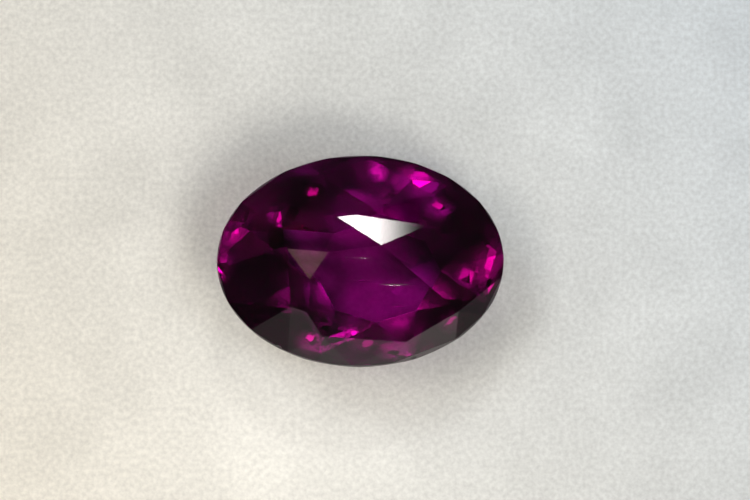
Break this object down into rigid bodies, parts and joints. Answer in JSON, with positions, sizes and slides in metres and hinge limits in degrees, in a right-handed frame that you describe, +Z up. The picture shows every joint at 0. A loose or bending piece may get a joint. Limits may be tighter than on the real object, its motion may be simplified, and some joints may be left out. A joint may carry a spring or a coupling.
{
  "type": "cut purple sapphire",
  "caption": "Oval faceted purple gemstone lying on its flat table, with a low irregular pavilion of large and small facets on top.",
  "frame": {"origin": "on the flat table face that the stone lies on, under the middle of the oval", "axes": "+X along the oval's long axis, +Y along its short axis, +Z up through the girdle to the pavilion"},
  "size_m": [0.009, 0.0066, 0.0036],
  "materials": {
    "sapphire": "clear polished purple crystal"
  },
  "bodies": {
    "root": {"sapphire": "sapphire"}
  },
  "joints": []
}
